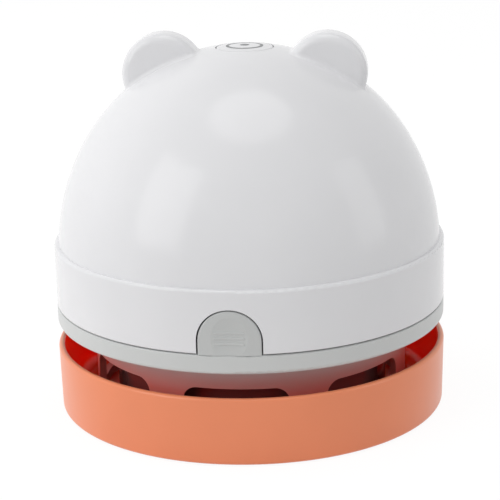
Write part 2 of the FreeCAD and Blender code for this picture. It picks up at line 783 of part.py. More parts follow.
# release tab: an arch of the band's own curve with a finger dimple and a catch behind it
def make_release_tab():
    body = new_body("release_tab")
    foot = "(ringTop + tabFootGap)"
    section = new_sketch(body, "tab_section", "YZ_Plane")
    draw(section, [
        ("-bandRadius", foot),
        ("-(bandRadius - tabLand)", foot),
        (f"-{BAND_INNER}", f"{foot} + tabRelief"),
        (f"-{BAND_INNER}", "tabTop + tabGap"),
        ("-bandRadius", "tabTop + tabGap"),
    ])
    arc = body.newObject("PartDesign::Revolution", "tab_arc")
    arc.Profile = section
    arc.ReferenceAxis = (section, ["V_Axis"])
    arc.Midplane = True
    bind(arc, Angle="4 * asin(tabHalf / bandRadius)")
    trim = new_sketch(body, "tab_trim_outline", "XZ_Plane", f"{BAND_INNER} - 2 * bandWall")
    wide = "(2 * tabHalf)"
    draw(trim, box_outline(f"-{wide}", wide, "ringBottom", "tabTop + tabHalf"))
    draw(trim, [
        ("-tabHalf", "ringBottom + ringRound"),
        ("tabHalf", "ringBottom + ringRound"),
        ("tabHalf", "tabTop - tabHalf", "tabHalf", "left"),
        ("0", "tabTop", "tabHalf", "left"),
        ("-tabHalf", "tabTop - tabHalf"),
    ])
    trimmed = pocket(body, "tab_trim", trim, "4 * bandWall", forward=True)
    radius = measure("bandRadius")
    low = measure(f"{foot} + tabEdge")
    round_edges(body, "tab_round", trimmed, "tabEdge",
                lambda edge, middle: abs(math.hypot(middle.x, middle.y) - radius) < NEAR and middle.z > low)
    ball = "((dimpleRadius ^ 2 + dimpleDepth ^ 2) / (2 * dimpleDepth))"
    dimple = new_sketch(body, "dimple_profile", "YZ_Plane")
    draw(dimple, [
        ("-(bandRadius - dimpleDepth)", "dimpleHeight"),
        ("-(bandRadius + dimpleDepth)", "dimpleHeight"),
        ("-(bandRadius + dimpleDepth)", "dimpleHeight + dimpleRadius"),
        ("-bandRadius", "dimpleHeight + dimpleRadius", ball, "right"),
    ])
    draw_axis(dimple, ("-bandRadius", "dimpleHeight"), (f"-{BAND_INNER}", "dimpleHeight"))
    groove = body.newObject("PartDesign::Groove", "dimple_cut")
    groove.Profile = dimple
    groove.ReferenceAxis = (dimple, ["Axis0"])
    groove.Angle = 360
    cuts.append(groove)
    back = f"({BAND_INNER} - hookThickness - 2 * hookGap)"
    front = f"({BAND_INNER} - 2 * hookGap)"
    hook = new_sketch(body, "hook_outline", "YZ_Plane", "-hookHalf")
    draw(hook, [
        (f"-{back}", "hookRoot"),
        (f"-{back}", "hookTop"),
        (f"-{front}", "hookTop"),
        (f"-({BAND_INNER} - hookGap)", "hookTop - hookThickness / 2"),
        (f"-({BAND_INNER} - hookGap)", "hookTop - hookThickness"),
        (f"-{front}", "hookTop - hookThickness"),
        (f"-{front}", "tabTop - tabEdge"),
        (f"-({BAND_INNER} + bandWall / 3)", "tabTop - 3 * tabEdge"),
        (f"-({BAND_INNER} + bandWall / 3)", "hookRoot"),
    ])
    pad(body, "hook_pad", hook, "2 * hookHalf")
    keep(body, "release_tab")


# band of the motor unit, with the arch for the tab, the port hole and the board's rails
def make_band_ring():
    body = new_body("band_ring")
    corners = [
        (BAND_INNER, BAND_BOTTOM),
        ("bandRadius - bandEdge", BAND_BOTTOM, "bandEdge", "left"),
        ("bandRadius", f"{BAND_BOTTOM} + bandEdge"),
        ("bandRadius", "seamHeight - bandRound", "bandRound", "left"),
        ("bandRadius - bandRound", "seamHeight"),
        (BAND_INNER, "seamHeight"),
    ]
    revolve(body, "band_hoop", corners)
    for side in ("-", ""):
        name = "left" if side else "right"
        rail = new_sketch(body, f"rail_{name}_outline", "XZ_Plane", "-boardFront")
        near = "(boardWidth / 2 + fitGap)"
        far = "(boardWidth / 2 + fitGap + railWidth)"
        edges = (f"-{far}", f"-{near}") if side else (near, far)
        draw(rail, box_outline(*edges, "boardBottom", "boardBottom + boardHeight"))
        depth = f"sqrt((bandRadius - bandWall / 2) ^ 2 - {far} ^ 2) - boardFront"
        pad(body, f"rail_{name}", rail, depth, back=True)
    arch = new_sketch(body, "arch_outline", "XZ_Plane", f"{BAND_INNER} - 2 * bandWall")
    half = "(tabHalf + tabGap)"
    draw(arch, [
        (f"-{half}", "ringBottom"),
        (half, "ringBottom"),
        (half, "tabTop - tabHalf", half, "left"),
        ("0", "tabTop + tabGap", half, "left"),
        (f"-{half}", "tabTop - tabHalf"),
    ])
    pocket(body, "arch_cut", arch, "4 * bandWall", forward=True)
    hole = new_sketch(body, "port_hole_outline", "XZ_Plane", f"-({BAND_INNER} - 2 * bandWall)")
    draw(hole, slot_corners("portWidth + 2 * portHoleGap", "portThick + 2 * portHoleGap"))
    pocket(body, "port_hole", hole, "4 * bandWall")
    keep(body, "band_ring")


def slot_corners(width, height):
    """Round-ended slot about the port's centre."""
    round_end = f"(({height}) / 2)"
    flat = f"(({width}) / 2 - {round_end})"
    low = f"portHeight - {round_end}"
    high = f"portHeight + {round_end}"
    return [
        (f"-{flat}", low),
        (flat, low, round_end, "left"),
        (f"{flat} + {round_end}", "portHeight", round_end, "left"),
        (flat, high),
        (f"-{flat}", high, round_end, "left"),
        (f"-({flat} + {round_end})", "portHeight", round_end, "left"),
    ]


def cover_screw_places():
    """The four places where one screw joins the fan cover, the deck and a boss of the dome."""
    across = "coverScrewCircle * cos(coverScrewAngle)"
    along = "coverScrewCircle * sin(coverScrewAngle)"
    return [(side + across, end + along) for side in ("", "-") for end in ("", "-")]


# dome shell with its two ears, screw bosses and the sleeve that guides the button
def dome_points(inset):
    """Seam, break and crown points of the dome's outline, moved inwards by inset."""
    arc = f"(domeSideRadius - {inset})"

    def on_side(angle):
        return f"{SIDE_CENTRE_X} + {arc} * cos({angle})", f"{SIDE_CENTRE_Z} + {arc} * sin({angle})"

    return {
        "seam": on_side("domeLeanAngle"),
        "break": on_side("domeBreakAngle"),
        "top": ("0", f"{CROWN_TOP} - {inset}"),
        "side_arc": arc,
        "crown_arc": f"({CROWN_ARC} - {inset})",
    }


def make_dome_shell():
    skin = new_body("dome_skin")
    outer = dome_points("0")
    spigot = f"({BAND_INNER} - slipGap)"
    dome = revolve(skin, "dome_form", [
        ("0", DECK_UNDER),
        (spigot, DECK_UNDER),
        (spigot, "seamHeight"),
        (*outer["seam"], outer["side_arc"], "left"),
        (*outer["break"], outer["crown_arc"], "left"),
        outer["top"],
    ])
    rim = "(earHeight + earRadius)"
    ear = revolve(skin, "ear_form", [
        ("-earFront", "earHeight"),
        ("earBack", "earHeight"),
        ("earBack", f"{rim} - earBackRound", "earBackRound", "left"),
        ("earBack - earBackRound", rim),
        ("-(earFront - earFrontRound)", rim, "earFrontRound", "left"),
        ("-earFront", f"{rim} - earFrontRound"),
    ], plane="YZ_Plane", axis=(("-earFront", "earHeight"), ("earBack", "earHeight")), lift="earOffset")
    ears = mirror_x(skin, "ears", ear)
    doc.recompute()
    plain_dome = dome.Shape
    ear_base = measure("seamHeight")
    round_edges(skin, "ear_blend", ears, "earBlend",
                lambda edge, middle: middle.z > ear_base + 1 and abs(middle.x) > 1
                and on_surface(plain_dome, middle) and not on_edge(plain_dome, middle))
    hollow = new_body("dome_hollow")
    inner = dome_points("domeWall")
    revolve(hollow, "dome_hollow_form", [
        ("0", f"{DECK_UNDER} - domeWall"),
        (inner["seam"][0], f"{DECK_UNDER} - domeWall"),
        (*inner["seam"], inner["side_arc"], "left"),
        (*inner["break"], inner["crown_arc"], "left"),
        inner["top"],
    ])
    spaces = [hollow]
    for side in (-1, 1):
        core = cylinder(f"ear_core_{side + 1}", "earRadius - earWall", "earFront + earBack - 2 * earWall")
        turn(core, FreeCAD.Vector(1, 0, 0), -90)
        place(core, f"{side} * earOffset", "-(earFront - earWall)", "earHeight")
        spaces.append(core)
    space = fuse("dome_space", spaces)
    fillers = []
    for number, centre in enumerate(cover_screw_places()):
        height = f"domeBossTop - {DECK_TOP}"
        fillers.append(cylinder(f"dome_boss_{number}", "domeBossRadius", height, *centre, DECK_TOP))
    for side in (-1, 1):
        y_text = f"{side} * carrierScrewOffset"
        fillers.append(cylinder(f"carrier_boss_{side + 1}", "bossRadius", f"{CROWN_TOP} - carrierTop",
                                y=y_text, z="carrierTop"))
    sleeve = "(buttonRadius + buttonGap + sleeveWall)"
    fillers.append(cylinder("sleeve_solid", sleeve, f"{CROWN_TOP} - sleeveBottom", z="sleeveBottom"))
    shell = cut("dome_hollowed", skin, cut("dome_free_space", space, fuse("dome_fillers", fillers)))
    holes = [cylinder("button_hole", "buttonRadius + buttonGap", f"{CROWN_TOP} - carrierTop", z="carrierTop")]
    for number, centre in enumerate(cover_screw_places()):
        depth = f"domeBossTop - {DECK_TOP} - bossRadius"
        holes.append(cylinder(f"dome_pilot_{number}", "screwRadius", depth, *centre, DECK_TOP))
    for side in (-1, 1):
        y_text = f"{side} * carrierScrewOffset"
        pilot = cylinder(f"carrier_pilot_{side + 1}", "screwRadius", "bossHeight", y=y_text, z="carrierTop")
        holes.append(pilot)
    keep(cut("dome_finished", shell, fuse("dome_holes", holes)), "dome_shell")


def on_surface(shape, point):
    return Part.Vertex(point).distToShape(shape.Shells[0])[0] < NEAR


def on_edge(shape, point):
    return min(Part.Vertex(point).distToShape(edge)[0] for edge in shape.Edges) < NEAR


# power button, its spring and the switch below it
def make_power_button():
    body = new_body("power_button")
    edge = "(buttonRadius - buttonEdge)"
    edge_top = f"({CROWN_CENTRE} + sqrt({CROWN_ARC} ^ 2 - {edge} ^ 2))"
    under = f"({CROWN_TOP} - buttonCap)"
    skirt = "(buttonRadius - buttonSkirt)"
    corners = [
        ("0", "plungerTop"),
        ("stemRadius", "plungerTop"),
        ("stemRadius", under),
        (skirt, under),
        (skirt, f"{CROWN_TOP} - skirtLength"),
        ("buttonRadius", f"{CROWN_TOP} - skirtLength"),
        ("buttonRadius", f"{edge_top} - buttonEdge", "buttonEdge", "left"),
        (edge, edge_top, CROWN_ARC, "left"),
        ("0", CROWN_TOP),
    ]
    revolve(body, "button_form", corners)
    keep(body, "power_button")
    plunger_low = "(carrierTop + switchHeight / 2)"
    plunger = cylinder("plunger_form", "plungerRadius", f"plungerTop - {plunger_low}", z=plunger_low)
    keep(plunger, "switch_plunger")


def make_button_spring():
    helix = doc.addObject("Part::Helix", "button_spring_line")
    low = "(carrierTop + buttonSpringWire / 2 + ringEdge / 2)"
    high = f"({CROWN_TOP} - buttonCap - buttonSpringWire / 2 - ringEdge / 2)"
    bind(helix, Radius="buttonSpringRadius", Height=f"{high} - {low}",
         Pitch=f"({high} - {low}) / buttonSpringTurns")
    place(helix, z=low)
    section = doc.addObject("Part::Circle", "button_spring_section")
    bind(section, Radius="buttonSpringWire / 2")
    turn(section, FreeCAD.Vector(1, 0, 0), 90)
    place(section, x="buttonSpringRadius", z=low)
    spring = doc.addObject("Part::Sweep", "button_spring_form")
    spring.Sections = [section]
    spring.Spine = (helix, ["Edge1"])
    spring.Solid = True
    spring.Frenet = True
    keep(spring, "button_spring")


def make_switch_carrier():
    body = new_body("switch_carrier")
    outline = new_sketch(body, "carrier_outline", "XY_Plane", CARRIER_UNDER)
    draw_circle(outline, "0", "0", "carrierRadius")
    pad(body, "carrier_plate", outline, "carrierThickness")
    for side in ("-", ""):
        name = "front" if side else "back"
        hole = new_sketch(body, f"carrier_{name}_hole", "XY_Plane", "carrierTop")
        draw_circle(hole, "0", f"{side}carrierScrewOffset", "screwHole")
        pocket(body, f"carrier_{name}_cut", hole, "carrierThickness")
    window = new_sketch(body, "carrier_window_outline", "XY_Plane", "carrierTop")
    draw(window, box_outline("carrierRadius / 2", "carrierRadius * 3 / 4", "-bossRadius", "bossRadius"))
    pocket(body, "carrier_window", window, "carrierThickness")
    keep(body, "switch_carrier")
    case = box("switch_case", "switchWidth", "switchWidth", "switchHeight",
               "-switchWidth / 2", "-switchWidth / 2", "carrierTop")
    bore = cylinder("switch_bore", "plungerRadius + plungerGap", "switchHeight", z="carrierTop")
    keep(cut("switch_form", case, bore), "tact_switch")
    screws = []
    for side in (-1, 1):
        screws.append(screw(f"carrier_screw_{side + 1}", "0", f"{side} * carrierScrewOffset",
                            CARRIER_UNDER, "carrierThickness + bossHeight - screwRadius"))
    keep(group("carrier_screw_set", screws), "carrier_screws")


def screw(name, x_text, y_text, under, reach):
    """One screw pointing up, with its head's top at height under."""
    low = f"{under} - headHeight"
    head = cylinder(name + "_head", "headRadius", "headHeight", x_text, y_text, low)
    shank = cylinder(name + "_shank", "screwRadius - screwGap", reach, x_text, y_text, under)
    socket = cylinder(name + "_socket", "socketRadius", "socketDepth", x_text, y_text, low)
    return cut(name + "_form", fuse(name + "_solid", [head, shank]), socket)


# deck that carries the motor and the battery
def make_motor_deck():
    body = new_body("motor_deck")
    outline = new_sketch(body, "deck_outline", "XY_Plane", DECK_UNDER)
    draw_circle(outline, "0", "0", "deckRadius")
    pad(body, "deck_plate", outline, "deckThickness")
    holes = new_sketch(body, "deck_holes_outline", "XY_Plane", DECK_TOP)
    draw_circle(holes, "0", "0", "bearingRadius + canBossWall + fitGap")
    for side in ("-", ""):
        draw_circle(holes, f"{side}motorScrewCircle", "0", "screwHole")
    for centre in cover_screw_places():
        draw_circle(holes, *centre, "screwHole")
    pocket(body, "deck_holes", holes, "deckThickness")
    keep(body, "motor_deck")


def make_motor_screws():
    screws = []
    for side in (-1, 1):
        screws.append(screw(f"motor_screw_{side + 1}", f"{side} * motorScrewCircle", "0",
                            DECK_UNDER, "deckThickness + canWall"))
    keep(group("motor_screw_set", screws), "motor_screws")


def make_cover_screws():
    screws = []
    under = f"({DECK_UNDER} - coverFlangeThickness)"
    reach = "coverFlangeThickness + deckThickness + bossHeight"
    for number, centre in enumerate(cover_screw_places()):
        screws.append(screw(f"cover_screw_{number}", *centre, under, reach))
    keep(group("cover_screw_set", screws), "cover_screws")


# fan housing, with the inlet in its floor and a ring of outlets round it
def make_fan_cover():
    body = new_body("fan_cover")
    flange_under = f"({DECK_UNDER} - coverFlangeThickness)"
    corners = [
        ("inletRadius", "coverUnder"),
        ("coverOuter", "coverUnder"),
        ("coverOuter", flange_under),
        ("coverFlange", flange_under),
        ("coverFlange", DECK_UNDER),
        (COVER_INNER, DECK_UNDER),
        (COVER_INNER, COVER_TOP),
        ("inletRadius + inletLip", COVER_TOP),
        ("inletRadius + inletLip", f"{COVER_TOP} + inletLipHeight"),
        ("inletRadius", f"{COVER_TOP} + inletLipHeight"),
    ]
    revolve(body, "cover_bowl", corners)
    outlet = new_sketch(body, "outlet_outline", "XY_Plane", COVER_TOP)
    draw(outlet, arc_segment("outletInner", "outletOuter", "outletAngle"))
    window = pocket(body, "outlet_cut", outlet, "coverPlate")
    ring_of(body, "outlets", "outletCount", window)
    holes = new_sketch(body, "cover_holes_outline", "XY_Plane", DECK_UNDER)
    for centre in cover_screw_places():
        draw_circle(holes, *centre, "screwHole")
    pocket(body, "cover_holes", holes, "coverFlangeThickness")
    keep(body, "fan_cover")
    tube("filter_seal", "sealOuter", "sealInner", f"{FILTER_RIM_TOP} + sealGap", "coverUnder")


def arc_segment(inner, outer, angle):
    """Ring segment about the X axis between two radii."""
    return [
        (f"{inner} * cos({angle} / 2)", f"-{inner} * sin({angle} / 2)"),
        (f"{outer} * cos({angle} / 2)", f"-{outer} * sin({angle} / 2)", outer, "left"),
        (f"{outer} * cos({angle} / 2)", f"{outer} * sin({angle} / 2)"),
        (f"{inner} * cos({angle} / 2)", f"{inner} * sin({angle} / 2)", inner, "right"),
    ]


# centrifugal fan wheel with swept blades, and the shaft that it is pressed on
def make_impeller():
    body = new_body("impeller")
    plate_under = "(impellerTop - impellerPlate)"
    corners = [
        ("shaftRadius", "hubBottom"),
        ("hubRadius - impellerPlate", "hubBottom", "impellerPlate", "left"),
        ("hubRadius", "hubBottom + impellerPlate"),
        ("hubRadius", f"{plate_under} - impellerPlate", "impellerPlate", "right"),
        ("hubRadius + impellerPlate", plate_under),
        ("impellerRadius", plate_under),
        ("impellerRadius", "impellerTop"),
        ("shaftRadius", "impellerTop"),
    ]
    revolve(body, "impeller_disc", corners)
    outline = new_sketch(body, "blade_outline", "XY_Plane", "bladeBottom")
    inner_turn = "(bladeThickness / bladeInner * 180 / pi)"
    outer_turn = "(bladeSweepAngle + bladeThickness / bladeOuter * 180 / pi)"
    draw(outline, [
        ("bladeInner", "0", "bladeArcRadius", "right"),
        ("bladeOuter * cos(bladeSweepAngle)", "bladeOuter * sin(bladeSweepAngle)"),
        (f"bladeOuter * cos({outer_turn})", f"bladeOuter * sin({outer_turn})", "bladeArcRadius", "left"),
        (f"bladeInner * cos({inner_turn})", f"bladeInner * sin({inner_turn})"),
    ])
    blade = pad(body, "blade", outline, f"{plate_under} - bladeBottom")
    ring_of(body, "blades", "bladeCount", blade)
    keep(body, "impeller")
    shaft_low = "(hubBottom - shaftRadius / 2)"
    shaft = cylinder("shaft_form", "shaftRadius", f"{CAN_TOP} + endCapBoss - {shaft_low}", z=shaft_low)
    keep(shaft, "motor_shaft")


# motor: can, end cap, bearings, magnets and armature
def make_motor():
    body = new_body("motor_can")
    boss = "(bearingRadius + canBossWall)"
    corners = [
        ("bearingRadius", f"{DECK_TOP} - canBossDrop"),
        (boss, f"{DECK_TOP} - canBossDrop"),
        (boss, DECK_TOP),
        ("canRadius - canRound", DECK_TOP, "canRound", "left"),
        ("canRadius", f"{DECK_TOP} + canRound"),
        ("canRadius", CAN_TOP),
        ("canRadius - canWall", CAN_TOP),
        ("canRadius - canWall", f"{DECK_TOP} + canWall"),
        ("bearingRadius", f"{DECK_TOP} + canWall"),
    ]
    revolve(body, "can_form", corners)
    holes = new_sketch(body, "can_holes_outline", "XY_Plane", f"{DECK_TOP} + canWall")
    for side in ("-", ""):
        draw_circle(holes, f"{side}motorScrewCircle", "0", "screwRadius")
    pocket(body, "can_holes", holes, "canWall")
    keep(body, "motor_can")
    cap = new_body("motor_end_cap")
    plug = "(canRadius - canWall - runningGap)"
    cap_boss = "(bearingRadius + endCapRim)"
    revolve(cap, "end_cap_form", [
        ("bearingRadius", f"{CAN_TOP} - endCapPlug"),
        (plug, f"{CAN_TOP} - endCapPlug"),
        (plug, CAN_TOP),
        ("canRadius", CAN_TOP),
        ("canRadius", f"{CAN_TOP} + endCapRim"),
        (cap_boss, f"{CAN_TOP} + endCapRim"),
        (cap_boss, f"{CAN_TOP} + endCapRim + endCapBoss"),
        ("bearingRadius", f"{CAN_TOP} + endCapRim + endCapBoss"),
    ])
    keep(cap, "motor_end_cap")
    bore = "shaftRadius + runningGap"
    tube("front_bearing", "bearingRadius", bore, f"{DECK_TOP} - canBossDrop",
         f"{DECK_TOP} - canBossDrop + bearingLength")
    tube("rear_bearing", "bearingRadius", bore, f"{CAN_TOP} + endCapRim + endCapBoss - bearingLength",
         f"{CAN_TOP} + endCapRim + endCapBoss")
    terminals = []
    for side in (-1, 1):
        terminals.append(box(f"terminal_{side + 1}", "terminalWidth", "terminalThickness", "terminalHeight",
                             f"{side} * terminalOffset - terminalWidth / 2", "-terminalThickness / 2",
                             f"{CAN_TOP} + endCapRim"))
    keep(group("terminal_set", terminals), "motor_terminals")
    magnets = new_body("motor_magnets", several=True)
    outer = "(canRadius - canWall)"
    inner = "(canRadius - canWall - magnetThickness)"
    low = f"({DECK_TOP} + magnetLift)"
    outline = new_sketch(magnets, "magnet_outline", "XY_Plane", low)
    draw(outline, arc_segment(inner, outer, "magnetAngle"))
    magnet = pad(magnets, "magnet", outline, "magnetLength")
    ring_of(magnets, "magnet_pair", "magnetCount", magnet)
    keep(magnets, "motor_magnets")
    armature = new_body("armature")
    reach = "(canRadius - canWall - magnetThickness - airGap)"
    core_outline = new_sketch(armature, "core_outline", "XY_Plane", low)
    draw_circle(core_outline, "0", "0", "armatureCore")
    pad(armature, "core", core_outline, "magnetLength")
    waist = new_sketch(armature, "waist_outline", "XY_Plane", low)
    draw(waist, box_outline("armatureCore / 2", f"{reach} - poleShoe / 2", "-poleWaist / 2", "poleWaist / 2"))
    waist_pad = pad(armature, "waist", waist, "magnetLength")
    shoe = new_sketch(armature, "shoe_outline", "XY_Plane", low)
    draw(shoe, arc_segment(f"({reach} - poleShoe)", reach, "poleAngle"))
    shoe_pad = pad(armature, "shoe", shoe, "magnetLength")
    ring_of(armature, "poles", "poleCount", waist_pad, shoe_pad)
    bore_outline = new_sketch(armature, "armature_bore_outline", "XY_Plane", f"{low} + magnetLength")
    draw_circle(bore_outline, "0", "0", "shaftRadius")
    pocket(armature, "armature_bore", bore_outline, "magnetLength")
    keep(armature, "armature")


# battery cell, its contacts and the cradle on the deck
def make_battery():
    can = cylinder("cell_can", "cellRadius", "cellLength")
    nub = cylinder("cell_nub", "cellNubRadius", "cellNub")
    for item, start in ((can, "-(cellLength + cellNub) / 2"), (nub, "(cellLength - cellNub) / 2")):
        turn(item, FreeCAD.Vector(0, 1, 0), 90)
        place(item, start, "cellOffset", CELL_HEIGHT)
    keep(fuse("cell_form", [can, nub]), "battery_cell")
    end = "((cellLength + cellNub) / 2)"
    contacts = []
    for side in (-1, 1):
        start = end if side > 0 else f"-{end} - contactThickness"
        contacts.append(box(f"contact_{side + 1}", "contactThickness", "contactWidth", "contactWidth",
                            start, "cellOffset - contactWidth / 2", f"{CELL_HEIGHT} - contactWidth / 2"))
    keep(group("contact_set", contacts), "battery_contacts")
    body = new_body("battery_cradle")
    half = f"({end} + contactThickness + cradleWall)"
    rail_half = "(cellLength / 2 - cellRadius / 2)"
    side_half = "(cellRadius + fitGap + cradleWall)"
    near_edge = "cellOffset - contactWidth / 2"
    far_edge = "cellOffset + contactWidth / 2"
    plate = new_sketch(body, "cradle_outline", "XY_Plane", DECK_TOP)
    draw(plate, box_outline(f"-{half}", half, near_edge, far_edge))
    pad(body, "cradle_plate", plate, "cradlePlate")
    saddle = new_sketch(body, "saddle_outline", "XY_Plane", DECK_TOP)
    sides = (f"cellOffset - {side_half}", f"cellOffset + {side_half}")
    draw(saddle, box_outline(f"-{rail_half}", rail_half, *sides))
    pad(body, "saddle_plate", saddle, "cradlePlate")
    ends = new_sketch(body, "cradle_ends_outline", "XY_Plane", DECK_TOP)
    draw(ends, box_outline(f"{half} - cradleWall", half, near_edge, far_edge))
    wall = pad(body, "cradle_end", ends, "cradleHeight")
    mirror_x(body, "cradle_ends", wall)
    for side in ("-", "+"):
        name = "front" if side == "-" else "back"
        near = f"cellOffset {side} (cellRadius + fitGap)"
        far = f"cellOffset {side} {side_half}"
        rail = new_sketch(body, f"cradle_{name}_outline", "XY_Plane", DECK_TOP)
        edges = (far, near) if side == "-" else (near, far)
        draw(rail, box_outline(f"-{rail_half}", rail_half, *edges))
        pad(body, f"cradle_{name}_rail", rail, "cradlePlate + cradleRail")
    keep(body, "battery_cradle")


# charging board in its rails, with the port in the band's hole
def make_charge_board():
    board = box("board_form", "boardWidth", "boardThickness", "boardHeight",
                "-boardWidth / 2", "boardFront", "boardBottom")
    keep(board, "charge_board")
    face = "(boardFront + boardThickness)"
    chips = [
        box("chip_small", "chipSmall", "chipSmallHeight", "chipSmall",
            "portWidth / 2 + chipGap", face, "portHeight - chipSmall / 2"),
        box("chip_large", "chipLarge", "chipLargeHeight", "chipLarge",
            "-(portWidth / 2 + chipGap + chipLarge)", face, "portHeight - chipLarge / 2"),
    ]
    keep(group("chip_set", chips), "board_chips")
    body = new_body("charge_port")
    shell = new_sketch(body, "port_outline", "XZ_Plane", f"-{face}")
    draw(shell, slot_corners("portWidth", "portThick"))
    pad(body, "port_shell", shell, f"portMouth - {face}", back=True)
    depth = f"portMouth - {face} - boardThickness"
    mouth = new_sketch(body, "port_mouth_outline", "XZ_Plane", "-portMouth")
    draw(mouth, slot_corners("portWidth - 2 * portWall", "portThick - 2 * portWall"))
    pocket(body, "port_mouth", mouth, depth, forward=True)
    tongue = new_sketch(body, "port_tongue_outline", "XZ_Plane", f"-{face}")
    half = "(portTongueWidth / 2)"
    draw(tongue, box_outline(f"-{half}", half, "portHeight - portTongue / 2", "portHeight + portTongue / 2"))
    pad(body, "port_tongue", tongue, depth, back=True)
    keep(body, "charge_port")


make_base_dish()
make_foot_pads()
make_suction_nozzle()
make_brush()
make_dust_cup()
make_base_screws()
make_filter_frame()
make_filter_media()
make_vent_collar()
make_release_tab()
make_band_ring()
make_dome_shell()
make_power_button()
make_button_spring()
make_switch_carrier()
make_motor_deck()
make_motor_screws()
make_cover_screws()
make_fan_cover()
make_impeller()
make_motor()
make_battery()
make_charge_board()
doc.recompute()

faults = []
for item in doc.Objects:
    if "Invalid" in item.State or "Error" in item.State:
        faults.append(f"{item.Label}: {item.State}")
for item in cuts:
    solids = item.Shape.Solids and item.BaseFeature.Shape.Solids
    if not solids or item.Shape.Volume >= item.BaseFeature.Shape.Volume - 1e-6:
        faults.append(f"{item.Label} cuts nothing")
for item in sub_parts:
    if item.Shape.isNull() or not item.Shape.isValid() or not item.Shape.Solids:
        faults.append(f"{item.Label} has no valid shape")
if faults:
    raise RuntimeError("; ".join(faults))

os.makedirs("parts", exist_ok=True)
for item in sub_parts:
    item.Shape.exportStep(f"parts/{item.Label}.step")
print(len(sub_parts), "sub-parts written")
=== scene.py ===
import json
import math
import random

import bmesh
import bpy
from mathutils import Matrix, Vector


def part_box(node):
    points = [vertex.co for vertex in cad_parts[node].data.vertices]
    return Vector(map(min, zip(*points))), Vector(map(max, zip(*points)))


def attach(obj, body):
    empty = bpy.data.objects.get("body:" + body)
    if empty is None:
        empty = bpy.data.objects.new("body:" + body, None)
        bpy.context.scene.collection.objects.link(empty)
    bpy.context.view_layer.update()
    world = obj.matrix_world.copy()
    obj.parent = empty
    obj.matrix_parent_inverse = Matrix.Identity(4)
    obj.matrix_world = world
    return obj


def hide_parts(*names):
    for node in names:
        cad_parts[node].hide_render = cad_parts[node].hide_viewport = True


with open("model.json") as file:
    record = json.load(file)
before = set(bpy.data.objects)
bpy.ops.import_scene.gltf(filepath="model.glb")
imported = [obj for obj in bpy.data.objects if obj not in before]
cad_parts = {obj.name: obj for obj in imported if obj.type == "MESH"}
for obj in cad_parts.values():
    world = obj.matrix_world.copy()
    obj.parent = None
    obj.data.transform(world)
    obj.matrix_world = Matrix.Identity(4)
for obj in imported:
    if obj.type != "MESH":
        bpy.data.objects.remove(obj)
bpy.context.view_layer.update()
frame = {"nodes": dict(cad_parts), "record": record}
nodes = frame["nodes"]
scene = bpy.context.scene
mm = 0.001


# camera, floor and light
view = {
    "azimuth": 6.0,          # degrees round from the tab towards +X
    "elevation": 16.03,
    "roll": -1.34,
    "distance": 0.4405,      # metres from the aim point
    "aimHeight": 0.03847,
    "aimRight": 0.00015,
    "lens": 125.1,
}


def spot(azimuth, elevation):      # direction from the object, azimuth 0 on the tab's side
    a, e = math.radians(azimuth), math.radians(elevation)
    return Vector((math.sin(a) * math.cos(e), -math.cos(a) * math.cos(e), math.sin(e)))


def makeCamera():
    data = bpy.data.cameras.new("camera")
    data.lens = view["lens"]
    data.sensor_width = 36.0
    data.clip_start = 0.01
    data.clip_end = 20.0
    camera = bpy.data.objects.new("camera", data)
    scene.collection.objects.link(camera)
    back = spot(view["azimuth"], view["elevation"])
    side = math.radians(view["azimuth"])
    right = Vector((math.cos(side), math.sin(side), 0))
    aim = Vector((0, 0, view["aimHeight"])) + right * view["aimRight"]
    turn = back.to_track_quat("Z", "Y").to_matrix().to_4x4()
    roll = Matrix.Rotation(math.radians(view["roll"]), 4, "Z")
    camera.matrix_world = Matrix.Translation(aim + back * view["distance"]) @ turn @ roll
    scene.camera = camera


studio = {
    "floorSize": 3.0,
    "floorWhite": 0.86,
    "floorGlow": 1.05,       # brightness of the bare white that shows on the floor
    "floorGlowShare": 0.88,
    "worldStrength": 0.42,
    "lampAim": (0, 0, 0.06),
    "lamps": {
        # name: azimuth, elevation, distance, width, height, radiance
        "top": (30.0, 85.0, 1.05, 0.78, 0.74, 2.0),
        "left": (-50.0, 26.0, 1.20, 0.66, 0.94, 2.25),
        "right": (83.0, 18.0, 1.20, 0.46, 0.80, 1.3),
        "farLeft": (-112.0, 22.0, 1.20, 0.80, 0.90, 1.7),
    },
    "unreflected": ("farLeft",),
}


def shownRays(tree):
    path = tree.nodes.new("ShaderNodeLightPath")
    rays = path.outputs["Is Camera Ray"]
    for name in ("Is Glossy Ray", "Is Transmission Ray"):
        either = tree.nodes.new("ShaderNodeMath")
        either.operation = "MAXIMUM"
        tree.links.new(rays, either.inputs[0])
        tree.links.new(path.outputs[name], either.inputs[1])
        rays = either.outputs[0]
    return rays


